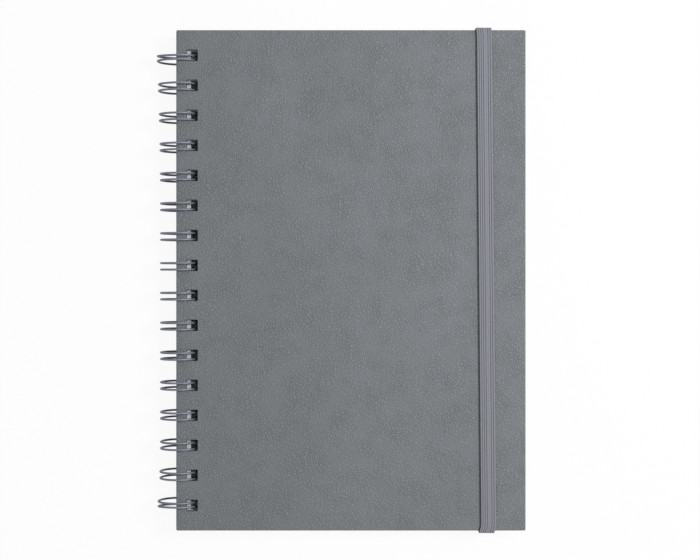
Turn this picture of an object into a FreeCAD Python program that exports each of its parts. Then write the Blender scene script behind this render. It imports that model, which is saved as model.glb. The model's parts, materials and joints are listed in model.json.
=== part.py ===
import FreeCAD, Part
import math
import os

import Sketcher

os.makedirs("parts", exist_ok=True)
Vector = FreeCAD.Vector

doc = FreeCAD.newDocument("notebook")
sheet = doc.addObject("Spreadsheet::Sheet", "Sizes")

# The driving sizes, in millimetres and degrees
DRIVING = [
    ("cover_width", 148.0),
    ("cover_height", 212.0),
    ("board_thickness", 2.0),
    ("edge_round", 0.6),
    ("corner_round", 0.9),
    ("lining_thickness", 0.15),
    ("lining_margin", 3.5),
    ("lining_spine_margin", 1.75),
    ("page_stack", 4.8),
    ("page_setback", 1.4),
    ("page_fore_margin", 3.1),
    ("page_end_margin", 2.5),
    ("page_corner", 6.0),
    ("sheet_gap", 0.1),
    ("hole_size", 4.8),
    ("hole_margin", 4.35),
    ("hole_end_margin", 10.75),
    ("hole_count", 16),
    ("wire_diameter", 0.9),
    ("loop_radius", 7.0),
    ("loop_stretch", 0.5),
    ("loop_setback", 0.05),
    ("comb_shift", -0.35),
    ("twin_gap", 2.9),
    ("bar_angle", -75.0),
    ("bar_bend", 1.0),
    ("tip_gap", 0.35),
    ("loop_step", 18.0),
    ("head_bow", 1.4),
    ("head_bow_loops", 5),
    ("tail_bow", 1.05),
    ("tail_bow_loops", 2),
    ("end_pinch", 0.9),
    ("tip_steps", 5),
    ("band_width", 6.5),
    ("band_thickness", 0.9),
    ("band_fore_inset", 16.65),
    ("band_slant", 0.57),
    ("band_gap", 0.1),
    ("band_fold", 0.3),
    ("band_ribs", 7),
    ("band_groove", 0.22),
    ("slot_inset", 12.0),
    ("slot_width", 1.6),
    ("slot_side_gap", 0.5),
    ("band_tail", 12.0),
    ("band_tail_gap", 0.075),
]

# Sizes that follow from the driving ones
DERIVED = [
    ("block_half", "page_stack / 2 + sheet_gap"),
    ("inner_face", "block_half + lining_thickness"),
    ("outer_face", "inner_face + board_thickness"),
    ("hole_pitch", "(cover_height - 2 * hole_end_margin) / (hole_count - 1)"),
    ("hole_run", "(hole_count - 1) * hole_pitch"),
    ("rebate_depth", "band_thickness + 2 * band_tail_gap"),
    ("rebate_length", "band_tail + band_tail_gap"),
    ("slot_length", "band_width + 2 * slot_side_gap"),
    ("page_width", "cover_width - page_setback - page_fore_margin"),
    ("page_height", "cover_height - 2 * page_end_margin"),
    ("band_inset", "cover_width - band_fore_inset"),
    ("page_hole_left", "page_setback + hole_margin"),
    ("band_lean", "(cover_height / 2 - slot_inset) * tan(band_slant * 1deg)"),
]

row = 0
for alias, amount in DRIVING:
    row += 1
    sheet.set(f"A{row}", alias)
    sheet.set(f"B{row}", str(amount))
    sheet.setAlias(f"B{row}", alias)
for alias, formula in DERIVED:
    row += 1
    sheet.set(f"A{row}", alias)
    sheet.set(f"B{row}", "=" + formula)
    sheet.setAlias(f"B{row}", alias)
doc.recompute()


def size(alias):
    return float(getattr(sheet, alias))


# The loops' round is stepped, so a corner of it reaches out by this much over the wire's middle
wire_reach = size("wire_diameter") / 2 / math.cos(math.radians(size("loop_step") / 2))
loop_reach = size("loop_setback") + size("loop_radius") + wire_reach
left_reach = loop_reach + max(size("head_bow"), size("tail_bow"))

# The origin is below the middle of the whole notebook, at the level it lies on.
# spine_x is the covers' left edge, and axis_z the height of the loops' middle, where the covers turn.
spine_x = (left_reach - size("cover_width")) / 2
axis_x = spine_x - size("loop_setback")
axis_z = size("loop_radius") + wire_reach


def plane(body, role):
    for feature in body.Origin.OriginFeatures:
        if feature.Role == role:
            return feature


def rectangle(body, name, left, bottom, width, height, level="0"):
    """A rectangle on the body's own XY plane; every argument is a formula in the sheet's names."""
    sketch = body.newObject("Sketcher::SketchObject", name)
    sketch.AttachmentSupport = [(plane(body, "XY_Plane"), "")]
    sketch.MapMode = "FlatFace"
    corners = [Vector(1, 1, 0), Vector(2, 1, 0), Vector(2, 2, 0), Vector(1, 2, 0)]
    for i in range(4):
        sketch.addGeometry(Part.LineSegment(corners[i], corners[(i + 1) % 4]), False)
    for i in range(4):
        sketch.addConstraint(Sketcher.Constraint("Coincident", i, 2, (i + 1) % 4, 1))
    sketch.addConstraint(Sketcher.Constraint("Horizontal", 0))
    sketch.addConstraint(Sketcher.Constraint("Vertical", 1))
    sketch.addConstraint(Sketcher.Constraint("Horizontal", 2))
    sketch.addConstraint(Sketcher.Constraint("Vertical", 3))
    for kind, edge, amount, formula, label in (
        ("DistanceX", (0, 1, 0, 2), 1.0, width, "width"),
        ("DistanceY", (1, 1, 1, 2), 1.0, height, "height"),
        ("DistanceX", (-1, 1, 0, 1), 1.0, left, "left"),
        ("DistanceY", (-1, 1, 0, 1), 1.0, bottom, "bottom"),
    ):
        index = sketch.addConstraint(Sketcher.Constraint(kind, *edge, amount))
        sketch.renameConstraint(index, label)
        sketch.setExpression(f"Constraints.{label}", formula)
    sketch.setExpression("AttachmentOffset.Base.z", level)
    return sketch


def pad(body, name, sketch, length):
    feature = body.newObject("PartDesign::Pad", name)
    feature.Profile = sketch
    feature.setExpression("Length", length)
    return feature


def pocket(body, name, sketch, depth, upward):
    feature = body.newObject("PartDesign::Pocket", name)
    feature.Profile = sketch
    feature.Reversed = upward
    feature.setExpression("Length", depth)
    return feature


def must_cut(feature, before):
    """Stops the build if a cut took nothing away."""
    least_cut = 0.01
    doc.recompute()
    if feature.Shape.Volume > before - least_cut:
        raise RuntimeError(f"{feature.Name} cuts nothing")


def round_edges(body, name, base, radius, pick):
    """Rounds those edges of base that pick chooses."""
    doc.recompute()
    names = [f"Edge{i + 1}" for i, edge in enumerate(base.Shape.Edges) if pick(edge)]
    feature = body.newObject("PartDesign::Fillet", name)
    feature.Base = (base, names)
    feature.setExpression("Radius", radius)
    return feature


def upright(edge):
    nearly_one = 0.99
    return abs(edge.tangentAt(edge.FirstParameter).z) > nearly_one


def punch(body, left, depth):
    """The row of square holes beside the spine, from the first one at the tail."""
    doc.recompute()
    before = body.Shape.Volume
    hole = rectangle(
        body,
        "HoleOutline",
        left,
        "-Sizes.hole_run / 2 - Sizes.hole_size / 2",
        "Sizes.hole_size",
        "Sizes.hole_size",
    )
    cut = pocket(body, "Hole", hole, depth, True)
    must_cut(cut, before)
    row_of_holes = body.newObject("PartDesign::LinearPattern", "Holes")
    row_of_holes.Originals = [cut]
    row_of_holes.Direction = (plane(body, "Y_Axis"), [""])
    row_of_holes.setExpression("Length", "Sizes.hole_run")
    row_of_holes.setExpression("Occurrences", "Sizes.hole_count")
    body.Tip = row_of_holes
    doc.recompute()


def new_body(label, bottom):
    """An empty body whose own zero is at the spine, at this height over the covers' middle plane."""
    body = doc.addObject("PartDesign::Body", label)
    body.Label = label
    body.Placement = FreeCAD.Placement(Vector(spine_x, 0, axis_z + bottom), FreeCAD.Rotation())
    return body


def cover_board(label, bottom):
    """A board wrapped in its covering, soft at every edge, and punched along the spine."""
    body = new_body(label, bottom)
    outline = rectangle(
        body, "Outline", "0", "-Sizes.cover_height / 2", "Sizes.cover_width", "Sizes.cover_height"
    )
    board = pad(body, "Board", outline, "Sizes.board_thickness")
    corners = round_edges(body, "Corners", board, "Sizes.corner_round", upright)
    round_edges(body, "Wrap", corners, "Sizes.edge_round", lambda edge: not upright(edge))
    doc.recompute()
    punch(body, "Sizes.hole_margin", "Sizes.board_thickness")
    return body


def front_cover():
    return cover_board("front_cover", size("inner_face"))


def back_cover():
    """Two slots let the band's ends in, and a rebate inside holds each end flat."""
    body = cover_board("back_cover", -size("outer_face"))
    for place, side in (("Head", 1), ("Tail", -1)):
        left = f"Sizes.band_inset - {side} * Sizes.band_lean - Sizes.slot_length / 2"
        middle = f"{side} * (Sizes.cover_height / 2 - Sizes.slot_inset)"
        for name, reach, depth, level, upward in (
            ("Slot", "Sizes.slot_width", "Sizes.board_thickness", "0", True),
            ("Rebate", "Sizes.rebate_length", "Sizes.rebate_depth", "Sizes.board_thickness", False),
        ):
            before = body.Shape.Volume
            bottom = f"{middle} - Sizes.slot_width / 2"
            if name == "Rebate" and side > 0:
                bottom = f"{middle} - {reach}"
            if name == "Rebate" and side < 0:
                bottom = middle
            outline = rectangle(
                body, f"{place}{name}Outline", left, bottom, "Sizes.slot_length", reach, level
            )
            cut = pocket(body, f"{place}{name}", outline, depth, upward)
            body.Tip = cut
            must_cut(cut, before)
    return body


def lining(label, bottom):
    """The paper glued inside a cover, over the turned-in covering."""
    body = new_body(label, bottom)
    outline = rectangle(
        body,
        "Outline",
        "Sizes.lining_spine_margin",
        "-Sizes.cover_height / 2 + Sizes.lining_margin",
        "Sizes.cover_width - Sizes.lining_spine_margin - Sizes.lining_margin",
        "Sizes.cover_height - 2 * Sizes.lining_margin",
    )
    pad(body, "Paper", outline, "Sizes.lining_thickness")
    punch(body, "Sizes.hole_margin", "Sizes.lining_thickness")
    return body


def pages():
    """The block of sheets, punched with the covers and rounded at its two free corners."""
    body = new_body("pages", -size("page_stack") / 2)
    outline = rectangle(
        body,
        "Outline",
        "Sizes.page_setback",
        "-Sizes.page_height / 2",
        "Sizes.page_width",
        "Sizes.page_height",
    )
    block = pad(body, "Block", outline, "Sizes.page_stack")
    middle = size("page_setback") + size("page_width") / 2
    free = lambda edge: upright(edge) and edge.CenterOfMass.x > middle
    round_edges(body, "FreeCorners", block, "Sizes.page_corner", free)
    doc.recompute()
    punch(body, "Sizes.page_hole_left", "Sizes.page_stack")
    return body


def bow(index):
    """How far a loop near either end of the comb is pulled out to the left."""
    from_head = size("hole_count") - 1 - index
    for place, amount, reach in (
        (from_head, size("head_bow"), size("head_bow_loops")),
        (index, size("tail_bow"), size("tail_bow_loops")),
    ):
        if place < reach:
            return amount * ((reach - place) / reach) ** 2
    return 0.0


def on_loop(angle, y, pull=0.0):
    """A point of a loop's middle line, its angle in degrees from the free edge's side.

    The loop is wider than high: stretched over the covers, and pulled out on the other side.
    """
    turn = math.radians(angle)
    radius = size("loop_radius")
    reach = radius + (size("loop_stretch") if math.cos(turn) > 0 else pull)
    return Vector(axis_x + reach * math.cos(turn), y, axis_z + radius * math.sin(turn))


def along_loop(angle):
    turn = math.radians(angle)
    return Vector(-math.sin(turn), 0, math.cos(turn))


def loop_points(start, end, y, pull):
    """One wire of a twin loop, from its root at the bar round to its tip."""
    step = size("loop_step")
    shortest = 0.3 * step
    angles = [start]
    station = math.floor((start - shortest) / step) * step
    while station > end + shortest:
        angles.append(station)
        station -= step
    angles.append(end)
    return [on_loop(angle, y, pull) for angle in angles]


def quarter_bend(corner, first, second, radius):
    """The points of a right-angled bend, from first's side of the corner to second's."""
    centre = corner + first * radius + second * radius
    middle = centre - (first + second) * (radius / math.sqrt(2))
    return [corner + first * radius, middle, corner + second * radius]


def comb_points():
    """The whole comb's middle line: loop, tip, loop, bar, and on to the next."""
    root = size("bar_angle") + 360
    bend = size("bar_bend")
    bar = on_loop(root, 0) + along_loop(root) * bend
    count = int(size("hole_count"))
    tail_y = size("comb_shift") - size("hole_run") / 2
    points = []
    for index in range(count):
        middle = tail_y + index * size("hole_pitch")
        low = middle - size("twin_gap") / 2
        high = middle + size("twin_gap") / 2
        if index == 0:
            low += size("end_pinch")
        if index == count - 1:
            high -= size("end_pinch")
        half = (high - low) / 2
        tip = root - 360 + math.degrees((half + size("tip_gap")) / size("loop_radius"))
        up = loop_points(root, tip, low, bow(index))
        down = loop_points(root, tip, high, bow(index))[::-1]
        away = -along_loop(root)
        if index > 0:
            corner = Vector(bar.x, low, bar.z)
            points += quarter_bend(corner, Vector(0, -1, 0), away, bend)
            up = up[1:]
        points += up
        # The tip is a half round between the two wires
        onward = -along_loop(tip)
        steps = int(size("tip_steps"))
        for part in range(1, steps):
            turn = math.pi * part / steps
            across = Vector(0, (low + high) / 2 - half * math.cos(turn), 0)
            points.append(on_loop(tip, 0) + across + onward * (half * math.sin(turn)))
        if index < count - 1:
            down = down[:-1]
        points += down
        if index < count - 1:
            corner = Vector(bar.x, high, bar.z)
            points += quarter_bend(corner, away, Vector(0, 1, 0), bend)
    return points


def swept(outline, route):
    """A solid of this section, carried along the route with a mitre at each of its points."""
    sweep = Part.BRepOffsetAPI.MakePipeShell(Part.makePolygon(route))
    sweep.setTransitionMode(1)
    sweep.add(Part.makePolygon(outline + outline[:1]))
    sweep.build()
    sweep.makeSolid()
    return sweep.shape()


def wire_comb():
    """One length of wire, with a six-sided section."""
    points = comb_points()
    heading = (points[1] - points[0]).normalize()
    outward = Vector(0, 1, 0).cross(heading).normalize()
    radius = size("wire_diameter") / 2
    rim = []
    for corner in range(6):
        turn = math.radians(60 * corner)
        rim.append(points[0] + outward * (radius * math.cos(turn)) + Vector(0, radius * math.sin(turn), 0))
    comb = doc.addObject("Part::Feature", "wire_comb")
    comb.Label = "wire_comb"
    comb.Shape = swept(rim, points)
    return comb


def band_route():
    """The band's middle line in the YZ plane, from one glued end round the notebook to the other."""
    half_band = size("band_thickness") / 2
    face = size("outer_face") + size("band_gap") + half_band
    edge = size("cover_height") / 2 + size("band_gap") + half_band
    slot = size("cover_height") / 2 - size("slot_inset")
    tail_level = -(size("inner_face") + size("band_tail_gap") + half_band)
    end = slot - size("band_tail")
    corners = [(end, tail_level), (slot, tail_level), (slot, -face), (edge, -face), (edge, face)]
    corners += [(-y, z) for y, z in reversed(corners)]
    bend = size("band_fold") + half_band
    points = [Vector(0, y, z) for y, z in corners]
    route = [points[0]]
    for here, corner, after in zip(points, points[1:], points[2:]):
        back = (here - corner).normalize()
        on = (after - corner).normalize()
        route += quarter_bend(corner, back, on, bend)
    route.append(points[-1])
    return route


def band_section(start):
    """The band's cut end: flat towards the notebook and grooved between its ribs."""
    half = size("band_width") / 2
    half_thick = size("band_thickness") / 2
    groove = size("band_groove")
    rib = size("band_width") / size("band_ribs")
    outline = [(-half, -half_thick), (half, -half_thick), (half, half_thick - groove)]
    for index in range(int(size("band_ribs"))):
        right = half - index * rib
        outline += [(right - groove, half_thick), (right - rib + groove, half_thick)]
        outline.append((right - rib, half_thick - groove))
    return [start + Vector(x, 0, z) for x, z in outline]


def elastic_band():
    """The band lies aslant, and its ends come in through the back cover's slots."""
    route = band_route()
    band = doc.addObject("Part::Feature", "elastic_band")
    band.Label = "elastic_band"
    band.Shape = swept(band_section(route[0]), route)
    lean = FreeCAD.Rotation(Vector(0, 0, 1), size("band_slant"))
    band.Placement = FreeCAD.Placement(Vector(spine_x + size("band_inset"), 0, axis_z), lean)
    return band


pieces = [
    front_cover(),
    lining("front_lining", size("block_half")),
    pages(),
    lining("back_lining", -size("inner_face")),
    back_cover(),
    elastic_band(),
    wire_comb(),
]
doc.recompute()

for thing in doc.Objects:
    if "Invalid" in thing.State or "Error" in thing.State:
        raise RuntimeError(f"{thing.Name} failed: {thing.State}")
for piece in pieces:
    if piece.Shape.isNull() or not piece.Shape.isValid():
        raise RuntimeError(f"{piece.Label} has no valid shape")
for piece in pieces:
    piece.Shape.exportStep(f"parts/{piece.Label}.step")
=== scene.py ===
"""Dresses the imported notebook: wrapped covers, paper, coated wire and a ribbed elastic band."""

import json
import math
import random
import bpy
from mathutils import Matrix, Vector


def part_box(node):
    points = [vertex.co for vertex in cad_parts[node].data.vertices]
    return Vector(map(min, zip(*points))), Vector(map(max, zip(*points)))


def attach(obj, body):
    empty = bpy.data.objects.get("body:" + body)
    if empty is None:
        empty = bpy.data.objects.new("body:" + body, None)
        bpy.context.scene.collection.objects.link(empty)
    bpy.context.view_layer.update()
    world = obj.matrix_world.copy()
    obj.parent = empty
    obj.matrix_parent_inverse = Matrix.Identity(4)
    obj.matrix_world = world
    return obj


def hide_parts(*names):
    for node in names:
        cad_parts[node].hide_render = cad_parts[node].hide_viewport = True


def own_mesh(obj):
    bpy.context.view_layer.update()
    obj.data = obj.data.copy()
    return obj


bl_info = {
    "name": "Wire-bound notebook",
    "version": (1, 0, 0),
    "blender": (4, 5, 0),
    "location": "View3D > Sidebar > Notebook",
    "description": "Dresses the packed notebook and sets it under a plain light",
    "category": "Object",
}

import bmesh
import bpy
from bpy.props import FloatProperty, FloatVectorProperty, IntProperty, PointerProperty
from mathutils import Vector

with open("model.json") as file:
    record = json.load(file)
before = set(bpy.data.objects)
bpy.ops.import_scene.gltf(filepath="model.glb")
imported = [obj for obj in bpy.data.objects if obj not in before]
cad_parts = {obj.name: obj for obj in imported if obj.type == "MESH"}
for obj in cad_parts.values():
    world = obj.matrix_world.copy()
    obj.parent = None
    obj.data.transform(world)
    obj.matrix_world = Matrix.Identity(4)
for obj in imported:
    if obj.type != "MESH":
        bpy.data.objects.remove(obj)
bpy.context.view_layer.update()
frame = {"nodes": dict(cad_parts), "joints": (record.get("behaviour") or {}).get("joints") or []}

MM = 0.001
IMAGE_WIDTH = 700

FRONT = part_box("front_cover")
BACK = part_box("back_cover")
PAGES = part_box("pages")
SPINE_X = FRONT[0][0]
HINGE = Vector(frame["joints"][0]["pos_m"])


def srgb(code):
    """A hex colour as the linear values that Blender works in."""
    channels = []
    for place in (1, 3, 5):
        value = int(code[place:place + 2], 16) / 255
        channels.append(value / 12.92 if value <= 0.04045 else ((value + 0.055) / 1.055) ** 2.4)
    return tuple(channels)


def length(title, about, millimetres):
    """A size that the user can change, its default in millimetres."""
    return FloatProperty(
        name=title, description=about, default=millimetres * MM, unit="LENGTH", precision=5
    )


def colour(title, about, code):
    """A colour that the user can change, its default as sRGB hex."""
    return FloatVectorProperty(
        name=title, description=about, default=srgb(code), subtype="COLOR", size=3, min=0, max=1
    )


class CoverSettings(bpy.types.PropertyGroup):
    """Sizes and colours of the two covers"""

    hole_size: length("Hole size", "Side of a square punched hole", 4.8)
    hole_margin: length("Hole margin", "From the spine edge to the holes", 4.35)
    hole_pitch: length("Hole pitch", "From one hole to the next", 12.7)
    hole_count: IntProperty(name="Holes", description="Holes along the spine", default=16, min=1)
    edge_round: length("Edge round", "Radius where the covering turns over the board's edge", 0.6)
    corner_round: length("Corner round", "Radius of the covers' four corners", 0.65)
    rim_round: length("Rim round", "Radius that the punch leaves on a hole's rim", 0.14)
    grain: length("Grain", "Width of one pebble of the embossed grain", 1.2)
    covering: colour("Covering", "Grey of the leatherette", "#7b7f83")
    board: colour("Board", "Grey of the bare board in the holes", "#3a3c40")


class PaperSettings(bpy.types.PropertyGroup):
    """The sheets, and the paper inside the covers"""

    sheets: IntProperty(name="Sheets", description="Sheets in the block", default=60, min=2)
    shuffle: length("Shuffle", "How far a sheet lies off its neighbours", 0.09)
    corner: length("Corner", "Radius of the sheets' free corners", 6.0)
    sheet_colour: colour("Sheet", "White of the writing paper", "#d7d9dc")
    lining_colour: colour("Lining", "White of the paper inside the covers", "#dcdddd")


class WireSettings(bpy.types.PropertyGroup):
    """Sizes and colour of the wire comb"""

    diameter: length("Diameter", "Diameter of the coated wire", 0.9)
    loop_radius: length("Loop radius", "From the loops' middle to the wire's middle line", 7.0)
    loop_stretch: length("Loop stretch", "How much further the loops reach over the covers", 1.3)
    comb_shift: length("Comb shift", "How far the comb lies off the holes' middle, to the head", -0.35)
    head_lean: length("Head lean", "How far the last loop at the head leans in front, to the head", -0.45)
    tail_lean: length("Tail lean", "How far the last loop at the tail leans in front, to the head", 0.25)
    twin_gap: length("Twin gap", "Between the two wires of a loop", 2.75)
    bar_bend: length("Bar bend", "Radius where a loop's wire turns into the bar", 1.0)
    tip_gap: length("Tip gap", "From a loop's tip to the bar", 0.35)
    head_bow: length("Head bow", "How far the last loop at the head is pulled out", 1.4)
    tail_bow: length("Tail bow", "How far the last loop at the tail is pulled out", 1.05)
    end_pinch: length("End pinch", "How far the comb's outermost wires lean in at the front", 1.1)
    coating: colour("Coating", "Grey of the wire's coating", "#787c87")


class BandSettings(bpy.types.PropertyGroup):
    """Sizes and colour of the elastic band, and of the openings that take it"""

    width: length("Width", "Width of the band", 6.5)
    thickness: length("Thickness", "Thickness of the band at a rib", 0.9)
    gap: length("Gap", "Between the band and the covers", 0.1)
    inset: length("Inset", "From the spine edge to the band's middle", 131.35)
    slant: FloatProperty(
        name="Slant", description="How far the band leans to the spine at the head",
        default=math.radians(0.5), subtype="ANGLE",
    )
    slot_inset: length("Slot inset", "From the head and tail edges to the slots", 12.0)
    slot_width: length("Slot width", "Width of the slots that let the band in", 1.6)
    slot_side_gap: length("Slot side gap", "Between the band and a slot's end", 0.5)
    tail: length("Glued end", "How far a glued end runs in from its slot", 12.0)
    tail_gap: length("Glued end gap", "Between a glued end and the rebate that holds it", 0.075)
    groove: length("Groove", "Depth between two ribs", 0.36)
    head_shift: length("Head shift", "How far the band is pushed left on the head edge", 0.3)
    tail_shift: length("Tail shift", "How far the band is pushed left on the tail edge", 0.8)
    weave: length("Weave", "From one row of stitches to the next", 0.4)
    knit: colour("Knit", "Grey of the band's knitted yarn", "#8a8c94")


class StageSettings(bpy.types.PropertyGroup):
    """The floor, the light and the camera"""

    camera_height: length("Camera height", "Camera over the front cover", 480.0)
    pixel: length("Pixel", "One photo pixel on the front cover", 0.4232)
    floor_size: length("Floor size", "Side of the floor", 6000.0)
    floor_glow: FloatProperty(
        name="Floor glow", description="How white the floor is seen near the notebook, over its shadow",
        default=0.93, min=0, max=1, subtype="FACTOR",
    )
    key_place: FloatVectorProperty(
        name="Key place", description="Where the main light stands",
        default=(0.495, 0.14, 0.61), size=3, subtype="TRANSLATION", unit="LENGTH",
    )
    key_size: length("Key size", "Side of the main soft light", 220.0)
    key_power: FloatProperty(name="Key", description="Main light, watts", default=4.5, unit="POWER")
    room: FloatProperty(name="Room", description="Even light from all round", default=0.36, min=0)


GROUPS = {
    "notebook_cover": CoverSettings,
    "notebook_paper": PaperSettings,
    "notebook_wire": WireSettings,
    "notebook_band": BandSettings,
    "notebook_stage": StageSettings,
}


# Materials

def add(tree, kind, inputs=None, stops=(), **settings):
    """Adds a node with its settings, links or fills its inputs, and sets a ramp's stops."""
    node = tree.nodes.new(kind)
    for name, value in settings.items():
        setattr(node, name, value)
    for name, value in (inputs or {}).items():
        if isinstance(value, bpy.types.NodeSocket):
            tree.links.new(value, node.inputs[name])
        else:
            node.inputs[name].default_value = value
    for index, (position, shade) in enumerate(stops):
        elements = node.color_ramp.elements
        element = elements[index] if index < len(elements) else elements.new(position)
        element.position = position
        element.color = (*shade, 1)
    return node


def new_material(name):
    """A material without nodes, its tree, and the object's own coordinates."""
    material = bpy.data.materials.new(name)
    material.use_nodes = True
    tree = material.node_tree
    tree.nodes.clear()
    place = add(tree, "ShaderNodeTexCoord").outputs["Object"]
    return material, tree, place


def shaded(shade, factor):
    """A lighter or darker shade of a colour."""
    return tuple(channel * factor for channel in shade)


def leatherette_material(settings):
    """PU leatherette, embossed by a roller: a low pebble grain with soft dull highlights."""
    material, tree, place = new_material("embossed_pu_leatherette")
    pebble = settings.grain
    press_patch = 9 * MM
    dye_cloud = 28 * MM
    emboss_depth = 0.205 * MM
    # Pebbles are raised cells of uneven outline, with creases between them. They are drawn a
    # little coarser than the real grain, so that they show from the photo's distance.
    warp = add(tree, "ShaderNodeTexNoise", {"Vector": place, "Scale": 1 / (4 * pebble), "Detail": 2.0})
    shift = add(
        tree, "ShaderNodeVectorMath",
        {0: warp.outputs["Color"], 1: (1.8 * pebble,) * 3, 2: place}, operation="MULTIPLY_ADD",
    )
    cells = add(
        tree, "ShaderNodeTexVoronoi", {"Vector": shift.outputs[0], "Scale": 1 / pebble},
        feature="DISTANCE_TO_EDGE",
    )
    crease = add(tree, "ShaderNodeMapRange", {0: cells.outputs["Distance"], "From Max": 0.22})
    fine = add(tree, "ShaderNodeTexNoise", {"Vector": place, "Scale": 1 / (0.35 * pebble), "Detail": 3.0})
    # The roller pressed deeper here and there
    press = add(tree, "ShaderNodeTexNoise", {"Vector": place, "Scale": 1 / press_patch, "Detail": 2.0})
    pressed = add(
        tree, "ShaderNodeMapRange",
        {0: press.outputs["Fac"], "From Min": 0.35, "From Max": 0.65, "To Min": 0.55, "To Max": 1.35},
    )
    height = add(
        tree, "ShaderNodeMath",
        {0: crease.outputs[0], 1: pressed.outputs[0], 2: fine.outputs["Fac"]}, operation="MULTIPLY_ADD",
    )
    bump = add(
        tree, "ShaderNodeBump", {"Height": height.outputs[0], "Strength": 0.7, "Distance": emboss_depth}
    )
    # The dye is a little cloudy, and painted shade darkens the creases
    cloud = add(tree, "ShaderNodeTexNoise", {"Vector": place, "Scale": 1 / dye_cloud, "Detail": 4.0})
    base = tuple(settings.covering)
    tint = add(
        tree, "ShaderNodeValToRGB", {0: cloud.outputs["Fac"]},
        stops=[(0.3, shaded(base, 0.95)), (0.5, base), (0.7, shaded(base, 1.05))],
    )
    # Painted shade: the colour is drawn darker down in the creases
    depth = add(
        tree, "ShaderNodeValToRGB", {0: crease.outputs[0]},
        stops=[(0.0, (0.86, 0.86, 0.86)), (1.0, (1.0, 1.0, 1.0))],
    )
    dye_and_crease_shade = add(
        tree, "ShaderNodeMix", {0: 1.0, 6: tint.outputs[0], 7: depth.outputs[0]},
        data_type="RGBA", blend_type="MULTIPLY",
    )
    shader = add(
        tree, "ShaderNodeBsdfPrincipled",
        {
            "Base Color": dye_and_crease_shade.outputs[2], "Roughness": 0.58, "Specular IOR Level": 0.42,
            "Normal": bump.outputs[0],
        },
    )
    add(tree, "ShaderNodeOutputMaterial", {"Surface": shader.outputs[0]})
    return material


def board_material(settings):
    """Dyed greyboard, cut by a punch: dark, matt and fibrous, in layers through its thickness."""
    material, tree, place = new_material("punched_greyboard")
    layer = 2 * MM
    fibre = 0.2 * MM
    fibre_depth = 0.05 * MM
    layers = add(
        tree, "ShaderNodeTexWave", {"Vector": place, "Scale": 1 / layer, "Distortion": 2.0},
        bands_direction="Z",
    )
    base = tuple(settings.board)
    tint = add(
        tree, "ShaderNodeValToRGB", {0: layers.outputs["Fac"]},
        stops=[(0.0, shaded(base, 0.8)), (1.0, shaded(base, 1.15))],
    )
    fibres = add(tree, "ShaderNodeTexNoise", {"Vector": place, "Scale": 1 / fibre, "Detail": 3.0})
    bump = add(
        tree, "ShaderNodeBump", {"Height": fibres.outputs["Fac"], "Strength": 0.5, "Distance": fibre_depth}
    )
    shader = add(
        tree, "ShaderNodeBsdfPrincipled",
        {"Base Color": tint.outputs[0], "Roughness": 0.9, "Normal": bump.outputs[0]},
    )
    add(tree, "ShaderNodeOutputMaterial", {"Surface": shader.outputs[0]})
    return material


def paper_material(name, shade):
    """Uncoated wood-free paper: white, quite matt, with a faint cloudy formation and a fine tooth."""
    material, tree, place = new_material(name)
    formation = 3 * MM
    tooth_width = 0.15 * MM
    tooth_depth = 0.02 * MM
    cloud = add(tree, "ShaderNodeTexNoise", {"Vector": place, "Scale": 1 / formation, "Detail": 4.0})
    base = tuple(shade)
    tint = add(
        tree, "ShaderNodeValToRGB", {0: cloud.outputs["Fac"]},
        stops=[(0.3, shaded(base, 0.975)), (0.7, base)],
    )
    tooth = add(tree, "ShaderNodeTexNoise", {"Vector": place, "Scale": 1 / tooth_width, "Detail": 2.0})
    bump = add(
        tree, "ShaderNodeBump", {"Height": tooth.outputs["Fac"], "Strength": 0.2, "Distance": tooth_depth}
    )
    shader = add(
        tree, "ShaderNodeBsdfPrincipled",
        {
            "Base Color": tint.outputs[0], "Roughness": 0.85, "Specular IOR Level": 0.3,
            "Normal": bump.outputs[0],
        },
    )
    add(tree, "ShaderNodeOutputMaterial", {"Surface": shader.outputs[0]})
    return material


def coating_material(settings):
    """Nylon-coated steel wire: a dip-smooth coat, whose metal flakes give long soft highlights."""
    material, tree, place = new_material("nylon_coated_wire")
    patch = 2.5 * MM
    peel_width = 0.3 * MM
    peel_depth = 0.02 * MM
    patches = add(tree, "ShaderNodeTexNoise", {"Vector": place, "Scale": 1 / patch, "Detail": 3.0})
    base = tuple(settings.coating)
    tint = add(
        tree, "ShaderNodeValToRGB", {0: patches.outputs["Fac"]},
        stops=[(0.3, shaded(base, 0.9)), (0.7, shaded(base, 1.08))],
    )
    rough = add(
        tree, "ShaderNodeMapRange", {0: patches.outputs["Fac"], "To Min": 0.42, "To Max": 0.54}
    )
    peel = add(tree, "ShaderNodeTexNoise", {"Vector": place, "Scale": 1 / peel_width, "Detail": 1.0})
    bump = add(
        tree, "ShaderNodeBump", {"Height": peel.outputs["Fac"], "Strength": 0.15, "Distance": peel_depth}
    )
    shader = add(
        tree, "ShaderNodeBsdfPrincipled",
        {
            "Base Color": tint.outputs[0], "Metallic": 0.5, "Roughness": rough.outputs[0],
            "Normal": bump.outputs[0],
        },
    )
    add(tree, "ShaderNodeOutputMaterial", {"Surface": shader.outputs[0]})
    return material


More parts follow.
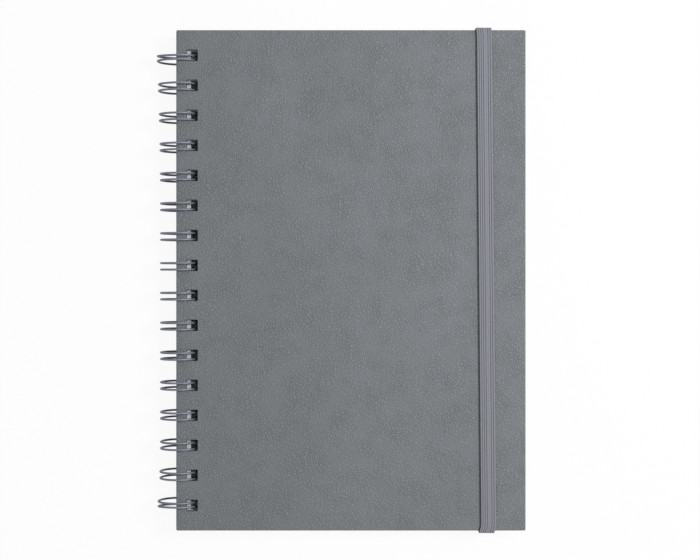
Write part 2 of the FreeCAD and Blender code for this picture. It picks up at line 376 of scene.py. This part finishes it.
def elastic_material(settings):
    """Knitted polyester over rubber cords: dull, with a row of short stitches across every rib."""
    material, tree, place = new_material("knitted_elastic")
    fuzz_width = 0.4 * MM
    stitch_depth = 0.03 * MM
    # U runs along the band in metres, and V tells how deep in a groove a point is
    lie = add(tree, "ShaderNodeUVMap", uv_map="along")
    split = add(tree, "ShaderNodeSeparateXYZ", {0: lie.outputs[0]})
    run = add(
        tree, "ShaderNodeMath", {0: split.outputs[0], 1: 2 * math.pi / settings.weave},
        operation="MULTIPLY",
    )
    stitch = add(tree, "ShaderNodeMath", {0: run.outputs[0]}, operation="SINE")
    fuzz = add(tree, "ShaderNodeTexNoise", {"Vector": place, "Scale": 1 / fuzz_width, "Detail": 2.0})
    height = add(tree, "ShaderNodeMath", {0: stitch.outputs[0], 1: fuzz.outputs["Fac"]}, operation="ADD")
    bump = add(
        tree, "ShaderNodeBump", {"Height": height.outputs[0], "Strength": 0.3, "Distance": stitch_depth}
    )
    # Painted shade: the colour darkens from the ribs' crowns to near black at the bottom of the grooves
    base = tuple(settings.knit)
    tint = add(
        tree, "ShaderNodeValToRGB", {0: split.outputs[1]},
        stops=[
            (0.0, base), (0.25, shaded(base, 0.84)), (0.6, shaded(base, 0.34)), (1.0, shaded(base, 0.18)),
        ],
    )
    shader = add(
        tree, "ShaderNodeBsdfPrincipled",
        {
            "Base Color": tint.outputs[0], "Roughness": 0.8, "Sheen Weight": 0.25,
            "Sheen Roughness": 0.5, "Normal": bump.outputs[0],
        },
    )
    add(tree, "ShaderNodeOutputMaterial", {"Surface": shader.outputs[0]})
    return material


def seen_directly(tree):
    """One where a ray comes straight from the camera, off a gloss or through glass, and else zero."""
    ray = add(tree, "ShaderNodeLightPath")
    seen = ray.outputs["Is Camera Ray"]
    for name in ("Is Glossy Ray", "Is Transmission Ray"):
        seen = add(tree, "ShaderNodeMath", {0: seen, 1: ray.outputs[name]}, operation="MAXIMUM").outputs[0]
    return seen


def floor_material(settings):
    """A matt white table top, seen near white, that still takes the notebook's soft shadow."""
    material, tree, place = new_material("white_table")
    shader = add(
        tree, "ShaderNodeBsdfPrincipled",
        {"Base Color": (0.93, 0.93, 0.93, 1), "Roughness": 0.9, "Specular IOR Level": 0.1},
    )
    glow = add(tree, "ShaderNodeEmission")
    # Under the notebook the table stays plain, so that no glow shows through the holes
    spine_half = 68 * MM
    head_half = 103 * MM
    fade = 1.5 * MM
    shadow_reach = 150 * MM
    white_reach = 600 * MM
    reach = add(tree, "ShaderNodeVectorMath", {0: place}, operation="ABSOLUTE")
    apart = add(tree, "ShaderNodeSeparateXYZ", {0: reach.outputs[0]})
    outside = [
        add(
            tree, "ShaderNodeMapRange",
            {0: apart.outputs[axis], "From Min": half - fade, "From Max": half + fade},
            interpolation_type="SMOOTHSTEP",
        )
        for axis, half in enumerate((spine_half, head_half))
    ]
    away = add(
        tree, "ShaderNodeMath", {0: outside[0].outputs[0], 1: outside[1].outputs[0]}, operation="MAXIMUM"
    )
    seen = add(
        tree, "ShaderNodeMath", {0: seen_directly(tree), 1: away.outputs[0]}, operation="MULTIPLY"
    )
    # Past the shadow the table runs out into plain white
    far = add(tree, "ShaderNodeVectorMath", {0: place}, operation="LENGTH")
    white = add(
        tree, "ShaderNodeMapRange",
        {
            0: far.outputs["Value"], "From Min": shadow_reach, "From Max": white_reach,
            "To Min": settings.floor_glow,
        },
        interpolation_type="SMOOTHSTEP",
    )
    share = add(
        tree, "ShaderNodeMath", {0: seen.outputs[0], 1: white.outputs[0]}, operation="MULTIPLY"
    )
    top = add(
        tree, "ShaderNodeMixShader", {0: share.outputs[0], 1: shader.outputs[0], 2: glow.outputs[0]}
    )
    # From below the table isn't there, so that the notebook's back can be looked at
    side = add(tree, "ShaderNodeNewGeometry")
    clear = add(tree, "ShaderNodeBsdfTransparent")
    both = add(
        tree, "ShaderNodeMixShader",
        {0: side.outputs["Backfacing"], 1: top.outputs[0], 2: clear.outputs[0]},
    )
    add(tree, "ShaderNodeOutputMaterial", {"Surface": both.outputs[0]})
    return material


# Shapes

def finished(bm, name, materials, smooth_angle=35):
    """Turns a bmesh into a piece with its materials, smooth but for its sharp edges."""
    bmesh.ops.recalc_face_normals(bm, faces=bm.faces)
    mesh = bpy.data.meshes.new(name)
    bm.to_mesh(mesh)
    bm.free()
    for material in materials:
        mesh.materials.append(material)
    mesh.shade_smooth()
    mesh.set_sharp_from_angle(angle=math.radians(smooth_angle))
    piece = bpy.data.objects.new(name, mesh)
    bpy.context.scene.collection.objects.link(piece)
    return piece


def hole_spans(cover):
    """The low and high ends of every hole along the spine."""
    first = -(cover.hole_count - 1) * cover.hole_pitch / 2
    spans = []
    for index in range(cover.hole_count):
        middle = first + index * cover.hole_pitch
        spans.append((middle - cover.hole_size / 2, middle + cover.hole_size / 2))
    return spans


def free_edge(right, low, high, radius):
    """The free edge's outline, from the tail up to the head, round at its two corners."""
    steps = 8
    outline = []
    for centre_y, start in ((low + radius, -90), (high - radius, 0)):
        for step in range(steps + 1):
            turn = math.radians(start + 90 * step / steps)
            outline.append((right - radius + radius * math.cos(turn), centre_y + radius * math.sin(turn)))
    return outline


def punched_slab(bm, low, high, hole_left, spans, radius):
    """A flat slab between two corners, with the row of square holes and round free corners."""
    hole_size = spans[0][1] - spans[0][0]
    columns = [low[0], hole_left, hole_left + hole_size]
    rows = [low[1]] + [end for span in spans for end in span] + [high[1]]
    edge = free_edge(high[0], low[1], high[1], radius)
    # Both faces are a grid of cells to the left of the holes' right side, and one face beyond it
    layers = []
    for z in (low[2], high[2]):
        grid = [[bm.verts.new((x, y, z)) for y in rows] for x in columns]
        rim = [bm.verts.new((x, y, z)) for x, y in edge]
        for column in range(2):
            for index in range(len(rows) - 1):
                is_hole = column == 1 and index % 2 == 1
                if not is_hole:
                    left, right = grid[column], grid[column + 1]
                    bm.faces.new((left[index], right[index], right[index + 1], left[index + 1]))
        bm.faces.new(rim + grid[2][::-1])
        layers.append((grid, rim))

    outlines = [
        grid[0][::-1] + [grid[1][0], grid[2][0]] + rim + [grid[2][-1], grid[1][-1]]
        for grid, rim in layers
    ]
    lofted(bm, outlines)
    for index in range(1, len(rows) - 1, 2):
        corners = [(1, index), (2, index), (2, index + 1), (1, index + 1)]
        lofted(bm, [[grid[column][row] for column, row in corners] for grid, _ in layers])


def rounded_rectangle(low, high, radius, steps):
    """A rectangle's outline with round corners, anticlockwise from the lower right corner."""
    outline = []
    middles = ((high[0], low[1]), (high[0], high[1]), (low[0], high[1]), (low[0], low[1]))
    for index, (x, y) in enumerate(middles):
        centre_x = x - radius if x == high[0] else x + radius
        centre_y = y - radius if y == high[1] else y + radius
        for step in range(steps + 1):
            turn = math.radians(90 * (index - 1 + step / steps))
            outline.append((centre_x + radius * math.cos(turn), centre_y + radius * math.sin(turn)))
    return outline


def lofted(bm, rings, material=0):
    """Joins closed rings of equal length, one above the other, by rows of faces."""
    for lower, upper in zip(rings, rings[1:]):
        count = len(lower)
        for index in range(count):
            following = (index + 1) % count
            face = bm.faces.new((lower[index], lower[following], upper[following], upper[index]))
            face.material_index = material


def round_over(radius, low, high, steps):
    """(inset, z) pairs of an edge that is rounded below and above."""
    pairs = []
    for step in range(steps + 1):
        turn = math.radians(90 * step / steps)
        pairs.append((radius * (1 - math.sin(turn)), low + radius * (1 - math.cos(turn))))
    return pairs + [(inset, low + high - z) for inset, z in reversed(pairs)]


def ring_at(bm, low, high, radius, z, steps=2):
    """A ring of vertices round a rectangle with round corners."""
    return [bm.verts.new((x, y, z)) for x, y in rounded_rectangle(low, high, radius, steps)]


def filled(bm, rings):
    """Closes the flat face between an outer ring and the rings inside it."""
    edges = [bm.edges.get((ring[index - 1], ring[index])) for ring in rings for index in range(len(ring))]
    bmesh.ops.triangle_fill(bm, use_beauty=True, edges=edges, normal=(0, 0, 1))


def band_openings(bm, box, band):
    """Slots that let the band's ends in, each with a rebate for the glued end on the inside.

    Returns the rings that they leave on the lower and the upper face.
    """
    low, high = box
    radius = 0.2 * MM
    nudge = 0.05 * MM
    level = high[2] - band.thickness - 2 * band.tail_gap
    half = band.width / 2 + band.slot_side_gap
    under, over = [], []
    for side in (1, -1):
        slot_y = side * (high[1] - band.slot_inset)
        x = low[0] + band.inset - slot_y * math.tan(band.slant)
        far, near = slot_y + side * band.slot_width / 2, slot_y - side * band.slot_width / 2
        end = slot_y - side * (band.tail + band.tail_gap)
        rebate = ((x - half, min(far, end)), (x + half, max(far, end)))
        # The slot stays a little inside the rebate, so that their walls don't meet
        far -= side * nudge
        slot = ((x - half + nudge, min(near, far)), (x + half - nudge, max(near, far)))
        rings = [ring_at(bm, *slot, radius, z) for z in (low[2], level)]
        rings += [ring_at(bm, *rebate, radius, z) for z in (level, high[2])]
        lofted(bm, rings[:2], 1)
        lofted(bm, rings[2:], 1)
        filled(bm, rings[1:3])
        under.append(rings[0])
        over.append(rings[-1])
    return under, over


def wrapped_cover(name, box, cover, materials, band=None):
    """A board in its covering: soft outer edges, and holes that the punch pressed in at the rim."""
    low, high = box
    edge_steps = 5
    rim_steps = 2
    punch_corner = 0.25 * MM
    bm = bmesh.new()
    rings = []
    for inset, z in round_over(cover.edge_round, low[2], high[2], edge_steps):
        corner = (low[0] + inset, low[1] + inset)
        opposite = (high[0] - inset, high[1] - inset)
        rings.append(ring_at(bm, corner, opposite, cover.corner_round - inset, z, edge_steps))
    lofted(bm, rings)
    rims = [[rings[0]], [rings[-1]]]
    left = low[0] + cover.hole_margin
    for start, end in hole_spans(cover):
        hole = []
        for inset, z in round_over(cover.rim_round, low[2], high[2], rim_steps):
            corner = (left - inset, start - inset)
            opposite = (left + cover.hole_size + inset, end + inset)
            hole.append(ring_at(bm, corner, opposite, punch_corner + inset, z))
        # The covering turns in with the rim, and the bare board shows between
        lofted(bm, hole[:rim_steps + 1])
        lofted(bm, hole[rim_steps:rim_steps + 2], 1)
        lofted(bm, hole[rim_steps + 1:])
        rims[0].append(hole[0])
        rims[1].append(hole[-1])
    if band:
        under, over = band_openings(bm, box, band)
        rims[0] += under
        rims[1] += over
    for side in rims:
        filled(bm, side)
    piece = finished(bm, name, materials, smooth_angle=50)
    # The large flat faces keep their own direction, and only the round edges blend
    piece.modifiers.new("flat_faces", "WEIGHTED_NORMAL").keep_sharp = True
    return piece


def tube(bm, points, radius, sides):
    """A round wire along the points, closed by flat ends."""
    rings = []
    heading = (points[1] - points[0]).normalized()
    out = heading.orthogonal().normalized()
    for index, point in enumerate(points):
        before = points[max(index - 1, 0)]
        after = points[min(index + 1, len(points) - 1)]
        turned = (after - before).normalized()
        out = (heading.rotation_difference(turned) @ out).normalized()
        heading = turned
        side = heading.cross(out)
        ring = []
        for corner in range(sides):
            turn = 2 * math.pi * corner / sides
            ring.append(bm.verts.new(point + (out * math.cos(turn) + side * math.sin(turn)) * radius))
        rings.append(ring)
    lofted(bm, rings)
    bm.faces.new(rings[0][::-1])
    bm.faces.new(rings[-1])


# The wire comb

def bow(index, wire, count):
    """How far a loop near either end of the comb is pulled out to the left."""
    head_loops = 5
    tail_loops = 2
    for place, amount, reach in (
        (count - 1 - index, wire.head_bow, head_loops), (index, wire.tail_bow, tail_loops),
    ):
        if place < reach:
            return amount * ((reach - place) / reach) ** 2
    return 0.0


def on_loop(wire, angle, y, pull=0.0):
    """A point of a loop's middle line, its angle in degrees from the free edge's side."""
    turn = math.radians(angle)
    reach = wire.loop_radius + (wire.loop_stretch if math.cos(turn) > 0 else pull)
    return HINGE + Vector((reach * math.cos(turn), y, wire.loop_radius * math.sin(turn)))


def along_loop(angle):
    """The direction in which a loop runs at an angle."""
    turn = math.radians(angle)
    return Vector((-math.sin(turn), 0, math.cos(turn)))


def loop_points(wire, start, end, y, pull, lean, pinch):
    """One wire of a twin loop, from its root at the bar round to its tip."""
    step = 6
    count = round((start - end) / step)
    points = []
    for index in range(count + 1):
        angle = start + (end - start) * index / count
        turn = math.radians(angle)
        # The wire leans over in front of the spine edge, and is pinched most at the front
        outside = (1 - math.cos(turn)) / 2
        shift = lean * outside * max(0, math.sin(turn)) + pinch * (1 + math.sin(turn)) / 2
        points.append(on_loop(wire, angle, y + shift, pull))
    return points


def quarter_bend(corner, first, second, radius):
    """A right-angled bend, from first's side of the corner to second's."""
    centre = corner + first * radius + second * radius
    points = []
    steps = 6
    for index in range(steps + 1):
        turn = math.radians(90 * index / steps)
        points.append(centre - second * (radius * math.cos(turn)) - first * (radius * math.sin(turn)))
    return points


def comb_points(wire, cover):
    """The comb's middle line, from the tail to the head: loop, tip, loop, bar, and on."""
    # The bars run behind the back cover, a little to the right of the loops' lowest point
    root = 285
    tip_step = 15
    half = wire.twin_gap / 2
    tip = root - 360 + math.degrees((half + wire.tip_gap) / wire.loop_radius)
    bar = on_loop(wire, root, 0) + along_loop(root) * wire.bar_bend
    away = -along_loop(root)
    onward = -along_loop(tip)
    last = cover.hole_count - 1
    points = []
    for index in range(cover.hole_count):
        middle = (index - last / 2) * cover.hole_pitch + wire.comb_shift
        low, high = middle - half, middle + half
        lean = wire.tail_lean + (wire.head_lean - wire.tail_lean) * index / last
        pull = bow(index, wire, cover.hole_count)
        tail_pinch = wire.end_pinch if index == 0 else 0
        head_pinch = -wire.end_pinch if index == last else 0
        up = loop_points(wire, root, tip, low, pull, lean, tail_pinch)
        down = loop_points(wire, root, tip, high, pull, lean, head_pinch)[::-1]
        if index > 0:
            corner = Vector((bar.x, low, bar.z))
            points += quarter_bend(corner, Vector((0, -1, 0)), away, wire.bar_bend)
            up = up[1:]
        points += up
        # The tip turns back in a half circle
        centre = (up[-1] + down[0]) / 2
        reach = (down[0] - up[-1]) / 2
        for degrees in range(tip_step, 180, tip_step):
            turn = math.radians(degrees)
            points.append(centre - reach * math.cos(turn) + onward * (half * math.sin(turn)))
        if index < last:
            corner = Vector((bar.x, high, bar.z))
            points += down[:-1]
            points += quarter_bend(corner, away, Vector((0, 1, 0)), wire.bar_bend)
        else:
            points += down
    return points


# The elastic band

def band_route(band):
    """The band's middle line as (y, z) points, from one glued end round to the other."""
    half = band.thickness / 2
    middle = HINGE.z
    face = FRONT[1][2] - middle + band.gap + half
    edge = FRONT[1][1] + band.gap + half
    slot = FRONT[1][1] - band.slot_inset
    level = -(FRONT[0][2] - middle + band.tail_gap + half)
    corners = [(slot - band.tail, level), (slot, level), (slot, -face), (edge, -face), (edge, face)]
    corners += [(-y, z) for y, z in reversed(corners)]
    fold = 0.3 * MM
    bend = fold + half
    steps = 6
    route = [Vector(corners[0])]
    for here, corner, after in zip(corners, corners[1:], corners[2:]):
        here, corner, after = Vector(here), Vector(corner), Vector(after)
        back = (here - corner).normalized()
        on = (after - corner).normalized()
        centre = corner + (back + on) * bend
        for index in range(steps + 1):
            turn = math.radians(90 * index / steps)
            route.append(centre - on * (bend * math.cos(turn)) - back * (bend * math.sin(turn)))
    route.append(Vector(corners[-1]))
    return spaced(route, 2 * MM)


def spaced(route, step):
    """The same route with its long runs cut into short ones."""
    points = [route[0]]
    for here, there in zip(route, route[1:]):
        cuts = max(1, math.ceil((there - here).length / step))
        points += [here.lerp(there, (index + 1) / cuts) for index in range(cuts)]
    return points


def band_section(band):
    """(across, out, sunk) points of the band's section: round ribs outside, lower ones inside."""
    per_rib = 8
    inside_share = 0.35
    # The cords lie unevenly in the knit, and the middle two almost touch
    edges = (0.0, 0.13, 0.265, 0.4, 0.565, 0.71, 0.85, 1.0)
    depths = (1.0, 1.0, 1.0, 0.95, 0.35, 1.0, 1.0, 1.0)
    half = band.width / 2
    half_thick = band.thickness / 2
    last = len(edges) - 2
    outside, inside = [], []
    for rib in range(last + 1):
        for step in range(per_rib + (rib == last)):
            share = step / per_rib
            depth = depths[rib] if share < 0.5 else depths[rib + 1]
            sunk = depth * (1 - math.sqrt(1 - abs(2 * share - 1) ** 2.6))
            x = -half + band.width * (edges[rib] + (edges[rib + 1] - edges[rib]) * share)
            outside.append((x, half_thick - band.groove * sunk, sunk))
            inside.append((x, -half_thick + inside_share * band.groove * sunk, sunk))
    return outside + inside[::-1]


def edge_shift(band, y):
    """The band is pushed left where it goes over the tail edge, and a little at the head."""
    total = 0.0
    for beyond, amount, reach in (
        (FRONT[0][1] - y, band.tail_shift, 3 * MM), (y - FRONT[1][1], band.head_shift, 2 * MM),
    ):
        share = min(1.0, max(0.0, (beyond + reach) / reach))
        total -= amount * share * share
    return total


def band_strip(band, name, route, materials):
    """The ribbed section, swept along the route and leant by the slant."""
    section = band_section(band)
    slope = math.tan(band.slant)
    bm = bmesh.new()
    along = bm.loops.layers.uv.new("along")
    rings, runs = [], []
    run = 0.0
    for index, point in enumerate(route):
        before = route[max(index - 1, 0)]
        after = route[min(index + 1, len(route) - 1)]
        heading = (after - before).normalized()
        out = Vector((-heading.y, heading.x))
        if index:
            run += (point - before).length
        runs.append(run)
        ring = []
        for across, lift, _ in section:
            y, z = point + out * lift
            x = SPINE_X + band.inset + across - slope * y + edge_shift(band, y)
            ring.append(bm.verts.new((x, y, HINGE.z + z)))
        rings.append(ring)
    count = len(section)
    for step in range(len(rings) - 1):
        for corner in range(count):
            following = (corner + 1) % count
            corners = (
                (step, corner), (step, following), (step + 1, following), (step + 1, corner),
            )
            face = bm.faces.new([rings[ring][vert] for ring, vert in corners])
            for loop, (ring, vert) in zip(face.loops, corners):
                loop[along].uv = (runs[ring], section[vert][2])
    bm.faces.new(rings[0])
    bm.faces.new(rings[-1][::-1])
    return finished(bm, name, materials, smooth_angle=60)


# Operators

class NOTEBOOK_OT_stage(bpy.types.Operator):
    """Sets up the floor, the soft lights and the camera over the cover"""

    bl_idname = "notebook.stage"
    bl_label = "Set the stage"

    def execute(self, context):
        scene = context.scene
        settings = scene.notebook_stage
        half = settings.floor_size / 2
        bm = bmesh.new()
        corners = ((-half, -half), (half, -half), (half, half), (-half, half))
        bm.faces.new([bm.verts.new((x, y, 0)) for x, y in corners])
        floor = finished(bm, "floor", [floor_material(settings)])

        world = bpy.data.worlds.new("pale_room")
        world.use_nodes = True
        tree = world.node_tree
        background = tree.nodes["Background"]
        background.inputs["Color"].default_value = (1, 1, 1, 1)
        # The room lights the notebook softly, but is seen as plain white
        bright = add(tree, "ShaderNodeMapRange", {0: seen_directly(tree), "To Min": settings.room})
        tree.links.new(bright.outputs[0], background.inputs["Strength"])
        scene.world = world

        lamp_data = bpy.data.lights.new("key_light", "AREA")
        lamp_data.shape = "SQUARE"
        lamp_data.size = settings.key_size
        lamp_data.energy = settings.key_power
        lamp = bpy.data.objects.new("key_light", lamp_data)
        lamp.location = settings.key_place
        lamp.rotation_euler = Vector(settings.key_place).to_track_quat("Z", "Y").to_euler()
        scene.collection.objects.link(lamp)

        camera_data = bpy.data.cameras.new("camera")
        camera = bpy.data.objects.new("camera", camera_data)
        scene.collection.objects.link(camera)
        # The optical axis meets the cover this many photo pixels from its left edge and above its middle
        across = 173.95
        above = 0.35
        camera.location = (
            SPINE_X + across * settings.pixel, above * settings.pixel, FRONT[1][2] + settings.camera_height,
        )
        seen_width = IMAGE_WIDTH * settings.pixel
        camera_data.lens = camera_data.sensor_width * settings.camera_height / seen_width
        camera_data.clip_end = 20
        scene.camera = camera
        scene.view_settings.view_transform = "Standard"
        return {"FINISHED"}


class NOTEBOOK_OT_covers(bpy.types.Operator):
    """Wraps both boards in leatherette"""

    bl_idname = "notebook.covers"
    bl_label = "Wrap the covers"

    def execute(self, context):
        cover = context.scene.notebook_cover
        band = context.scene.notebook_band
        materials = [leatherette_material(cover), board_material(cover)]
        for node, body, box, openings in (
            ("front_cover", "front_cover", FRONT, None), ("back_cover", "binding", BACK, band),
        ):
            piece = wrapped_cover("wrapped_" + node, box, cover, materials, openings)
            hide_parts(node)
            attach(piece, body)
        return {"FINISHED"}


class NOTEBOOK_OT_paper(bpy.types.Operator):
    """Stacks the sheets and papers the insides of the covers"""

    bl_idname = "notebook.paper"
    bl_label = "Stack the sheets"

    def execute(self, context):
        cover = context.scene.notebook_cover
        paper = context.scene.notebook_paper
        dice = random.Random(7)
        low, high = PAGES
        # A little air stays between the sheets, so that their edges show one by one
        pitch = (high[2] - low[2]) / paper.sheets
        thickness = 0.9 * pitch
        bm = bmesh.new()
        for index in range(paper.sheets):
            x = dice.uniform(-1, 1) * paper.shuffle
            y = dice.uniform(-1, 1) * paper.shuffle
            bottom = low[2] + index * pitch
            punched_slab(
                bm,
                (low[0] + x, low[1] + y, bottom),
                (high[0] + x, high[1] + y, bottom + thickness),
                low[0] + x + cover.hole_margin,
                [(start + y, end + y) for start, end in hole_spans(cover)],
                paper.corner,
            )
        writing = paper_material("uncoated_writing_paper", paper.sheet_colour)
        sheets = finished(bm, "writing_sheets", [writing])
        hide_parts("pages")
        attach(sheets, "binding")
        lining = paper_material("uncoated_lining_paper", paper.lining_colour)
        for node in ("front_lining", "back_lining"):
            mesh = frame["nodes"][node].data
            mesh.materials.clear()
            mesh.materials.append(lining)
        return {"FINISHED"}


class NOTEBOOK_OT_wire(bpy.types.Operator):
    """Bends the coated wire into its comb of twin loops"""

    bl_idname = "notebook.wire"
    bl_label = "Bend the wire"

    def execute(self, context):
        wire = context.scene.notebook_wire
        bm = bmesh.new()
        tube(bm, comb_points(wire, context.scene.notebook_cover), wire.diameter / 2, sides=14)
        comb = finished(bm, "coated_comb", [coating_material(wire)], smooth_angle=60)
        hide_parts("wire_comb")
        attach(comb, "binding")
        return {"FINISHED"}


class NOTEBOOK_OT_band(bpy.types.Operator):
    """Stretches the elastic band round the closed notebook"""

    bl_idname = "notebook.band"
    bl_label = "Stretch the band"

    def execute(self, context):
        band = context.scene.notebook_band
        piece = band_strip(band, "ribbed_band", band_route(band), [elastic_material(band)])
        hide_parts("elastic_band")
        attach(piece, "binding")
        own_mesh(piece)
        return {"FINISHED"}


class NOTEBOOK_PT_panel(bpy.types.Panel):
    """Lists the notebook's steps and settings"""

    bl_idname = "NOTEBOOK_PT_panel"
    bl_label = "Notebook"
    bl_space_type = "VIEW_3D"
    bl_region_type = "UI"
    bl_category = "Notebook"

    def draw(self, context):
        for operator in OPERATORS:
            self.layout.operator(operator.bl_idname)
        for group, kind in GROUPS.items():
            box = self.layout.box()
            for name in kind.__annotations__:
                box.prop(getattr(context.scene, group), name)


OPERATORS = (
    NOTEBOOK_OT_stage,
    NOTEBOOK_OT_covers,
    NOTEBOOK_OT_paper,
    NOTEBOOK_OT_wire,
    NOTEBOOK_OT_band,
)
CLASSES = (*GROUPS.values(), *OPERATORS, NOTEBOOK_PT_panel)


def register():
    """Adds the classes, and the settings to every scene."""
    for kind in CLASSES:
        bpy.utils.register_class(kind)
    for group, kind in GROUPS.items():
        setattr(bpy.types.Scene, group, PointerProperty(type=kind))


def unregister():
    """Takes away what register added."""
    for group in GROUPS:
        delattr(bpy.types.Scene, group)
    for kind in reversed(CLASSES):
        bpy.utils.unregister_class(kind)


def main():
    """Builds every piece in order."""
    register()
    bpy.ops.notebook.stage()
    bpy.ops.notebook.covers()
    bpy.ops.notebook.paper()
    bpy.ops.notebook.wire()
    bpy.ops.notebook.band()


if __name__ == "__main__":
    main()
